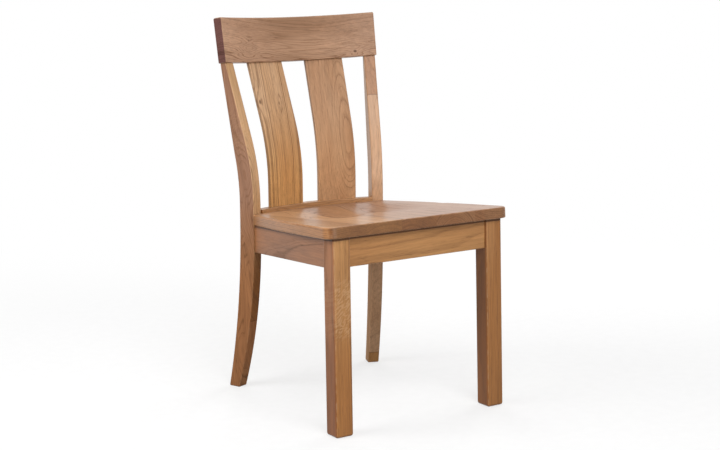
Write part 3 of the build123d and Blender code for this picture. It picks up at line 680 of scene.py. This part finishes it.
def dress_post(side, sign, joint_lean, joint_place, shift, span, front, flank, rear, contrast, knots,
               flecks):
    """A bent post: the front board's grain follows the lean of the back, the rear board's is upright."""
    outward = (sign * math.sin(POST_TURN), math.cos(POST_TURN), 0)
    sideways = (outward[1], -outward[0], 0)
    slope = (POST_LEAN * outward[0], POST_LEAN * outward[1], 1)
    shared = dict(axes=square_axes(outward), flank=(sideways, *flank), knots=knots, span=span,
                  ring=POST_RING)
    front_board = dict(grain=slope, pith=(sign * 0.10, 0.12, 0.6), shift=shift, wander=0.015,
                       body=front[0], deep=front[1], contrast=contrast, flecks=flecks, **shared)
    rear_board = dict(grain=UP, pith=(sign * 0.26, 0.26, 0), shift=shift + REAR_SHIFT, wander=0.025,
                      body=rear[0], deep=rear[1], contrast=contrast + REAR_CONTRAST, **shared)
    facing = (outward[0], outward[1], joint_lean)
    dress(f"rear_post_{side}", glued_material(
        f"oak_post_{side}", front_board, rear_board, facing, joint_place))


def dress_base():
    """Front legs and aprons."""
    # the front legs' tones carry painted shade towards the floor, and painted light low on the right leg's
    # front
    dress("front_leg_left", oak_material(
        "oak_leg_left", grain=(0.006, 0.023, 1), pith=(-0.33, -0.262, 0), shift=20.0, ring=0.0065,
        body=LEG_GOLD_SHADED_LOW, deep=LEG_BROWN_SHADED_LOW, contrast=0.5, flecks=(0.225, 0.34), carries_seat=True,
        flank=(CROSS, LEG_SIDE_SHADED_LOW, LEG_SIDE_DEEP_SHADED_LOW)))
    dress("front_leg_right", oak_material(
        "oak_leg_right", grain=(-0.006, 0.023, 1), pith=(0.35, -0.25, 0), shift=23.0, ring=0.0055,
        body=LEG_RED_LIT_LOW, deep=LEG_BROWN_SHADED_LOW, contrast=0.5, carries_seat=True,
        flank=(CROSS, LEG_RED_SIDE_SHADED_LOW, LEG_RED_SIDE_DEEP_SHADED_LOW)))
    dress("front_apron", oak_material(
        "oak_apron_front", grain=(1, 0, 0.04), pith=(0, -0.20, 0.375), shift=26.0, ring=0.009, wander=0.05,
        body=GOLD, deep=LEG_BROWN_SHADED_LOW[0], contrast=0.33, carries_seat=True))
    for side, sign, shift in (("left", -1, 29.0), ("right", 1, 32.0)):
        slant = -SIDE_APRON_SLANT * sign
        dress(f"side_apron_{side}", oak_material(
            f"oak_apron_{side}", grain=(slant, 1, -0.08), pith=(sign * 0.13, 0, 0.36), shift=shift,
            ring=0.009, wander=0.04, body=APRON_ROSE, deep=APRON_UMBER, contrast=0.7,
            axes=square_axes((slant, 1, 0)), carries_seat=True))


def dress_seat():
    """The boards of the seat, with their end grain at its front edge."""
    axes = Vector(CROSS), Vector(SEAT_RUN), Vector(SEAT_FACING)
    for name, pith, shift, body, deep, end in SEAT_BOARDS:
        dress(f"seat_board_{name}", oak_material(
            f"oak_seat_{name}", grain=SEAT_RUN, pith=pith, shift=shift, ring=0.0045,
            body=body, deep=deep, contrast=0.75, end=end, axes=axes, gloss=SEAT_GLOSS,
            flank=(CROSS, SEAT_SIDE, SEAT_SIDE_DEEP), turn=SEAT_SIDE_TURN))


def dress_hidden():
    """Corner blocks, dowels and screws."""
    plain = dict(grain=CROSS, pith=(0, -0.5, 0.3), body=HONEY, deep=TAN, contrast=0.2)
    for place in ("front_left", "front_right", "rear_left", "rear_right"):
        dress(f"corner_block_{place}", oak_material(f"block_{place}", shift=50.0, ring=0.004, **plain))
    for name in ("frame_dowels", "crest_dowels"):
        dress(name, oak_material(f"beech_{name}", shift=53.0, ring=0.003, **plain))
    for name in ("block_screws", "seat_screws"):
        dress(name, steel_material(f"steel_{name}"))


def seen_ray(tree):
    """1 for rays from the camera, straight on or by way of gloss or glass, and 0 for the rest."""
    path = node(tree, "ShaderNodeLightPath")
    seen = calc(tree, "MAXIMUM", path.outputs["Is Glossy Ray"], path.outputs["Is Transmission Ray"])
    return calc(tree, "MAXIMUM", path.outputs["Is Camera Ray"], seen)


def build_floor():
    """The pale floor."""
    mesh = bpy.data.meshes.new("floor")
    half = FLOOR_HALF
    corners = [(-half, -half, 0), (half, -half, 0), (half, half, 0), (-half, half, 0)]
    mesh.from_pydata(corners, [], [(0, 1, 2, 3)])
    floor = bpy.data.objects.new("floor", mesh)
    bpy.context.scene.collection.objects.link(floor)
    material, tree = new_material("pale_floor")
    spot = node(tree, "ShaderNodeTexCoord").outputs["Object"]
    speckle = noise(tree, spot, FLOOR_SPECKLE_SCALE, 2.0).outputs[0]
    paint = blend(tree, ramp(tree, speckle, *FLOOR_SPECKLE_RANGE), FLOOR_COLOUR, FLOOR_SPECKLE)
    seen = seen_ray(tree)
    paint = blend(tree, calc(tree, "SUBTRACT", 1.0, seen), paint, FLOOR_BOUNCE, "MULTIPLY")
    plain = node(tree, "ShaderNodeBsdfDiffuse", {"Color": paint})
    glow = node(tree, "ShaderNodeEmission", {"Color": WHITE, "Strength": 1.0})
    far = ramp(tree, vector(tree, "LENGTH", spot), FLOOR_NEAR, FLOOR_FAR, FLOOR_WHITE, 1.0)
    mix = node(tree, "ShaderNodeMixShader", {"Fac": calc(tree, "MULTIPLY", seen, far)})
    tree.links.new(plain.outputs[0], mix.inputs[1])
    tree.links.new(glow.outputs[0], mix.inputs[2])
    out = node(tree, "ShaderNodeOutputMaterial")
    tree.links.new(mix.outputs[0], out.inputs["Surface"])
    mesh.materials.append(material)


def build_world():
    """White all round for the camera, and a low fill for the chair."""
    world = bpy.data.worlds.new("studio")
    bpy.context.scene.world = world
    world.use_nodes = True
    tree = world.node_tree
    tree.nodes.clear()
    level = calc(tree, "MULTIPLY_ADD", seen_ray(tree), 1.0 - WORLD_FILL, WORLD_FILL)
    sky = node(tree, "ShaderNodeBackground", {"Color": WHITE, "Strength": level})
    out = node(tree, "ShaderNodeOutputWorld")
    tree.links.new(sky.outputs[0], out.inputs["Surface"])


def build_lamps():
    """Soft boxes, which the camera itself does not see."""
    for name, place, target, width, height, watts, mirrored in LAMPS:
        lamp = bpy.data.lights.new(name, "AREA")
        lamp.shape = "RECTANGLE"
        lamp.size = width
        lamp.size_y = height
        lamp.energy = watts
        holder = bpy.data.objects.new(name, lamp)
        holder.location = place
        holder.rotation_euler = (Vector(target) - Vector(place)).to_track_quat("-Z", "Y").to_euler()
        holder.visible_camera = False
        holder.visible_glossy = mirrored
        bpy.context.scene.collection.objects.link(holder)


place_camera()
build_floor()
build_world()
build_lamps()
dress_back()
for post in POSTS:
    dress_post(**post)
dress_base()
dress_seat()
dress_hidden()
bpy.context.scene.view_settings.view_transform = "Standard"
